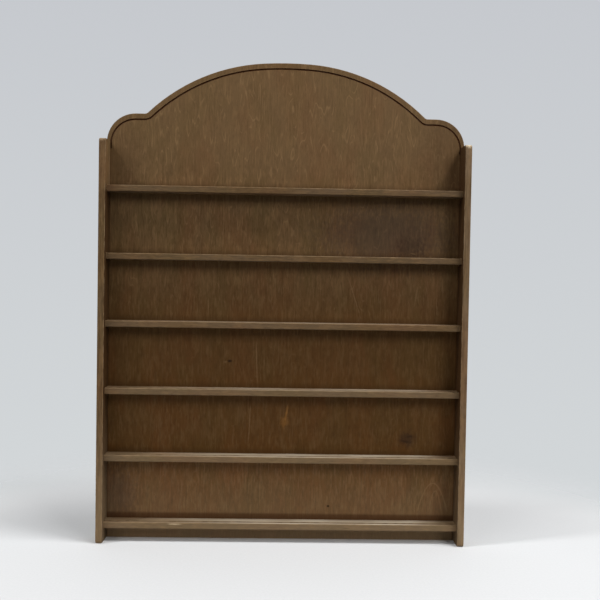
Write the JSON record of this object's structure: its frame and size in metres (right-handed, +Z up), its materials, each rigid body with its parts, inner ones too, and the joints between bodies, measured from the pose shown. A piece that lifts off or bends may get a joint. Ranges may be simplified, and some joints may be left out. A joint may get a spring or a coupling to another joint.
{
  "type": "plate rack",
  "caption": "Tall shallow wall rack of stained wood for small display plates: shaped panel with an arched crown and routed line, narrow sides, grooved shelves.",
  "frame": {"origin": "centre of the bounding box at the foot, in the plane that the rack stands on", "axes": "+X to the right of a person who faces the rack, +Y from the open front to the back panel, +Z up"},
  "size_m": [0.508, 0.04, 0.668],
  "materials": {
    "panel_plywood": "brown stain, satin lacquer",
    "side_board": "brown stain, satin lacquer",
    "shelf_board": "brown stain, satin lacquer",
    "brad_steel": "bright wire",
    "hanger_steel": "zinc plated"
  },
  "bodies": {
    "root": {"back_panel": "panel_plywood", "left_side": "side_board", "right_side": "side_board", "top_shelf": "shelf_board", "second_shelf": "shelf_board", "third_shelf": "shelf_board", "fourth_shelf": "shelf_board", "fifth_shelf": "shelf_board", "bottom_shelf": "shelf_board", "left_shelf_end_brads": "brad_steel", "right_shelf_end_brads": "brad_steel", "left_panel_brads": "brad_steel", "right_panel_brads": "brad_steel", "panel_to_shelf_brads": "brad_steel", "left_hanger": "hanger_steel", "right_hanger": "hanger_steel", "left_hanger_nails": "hanger_steel", "right_hanger_nails": "hanger_steel"}
  },
  "joints": []
}
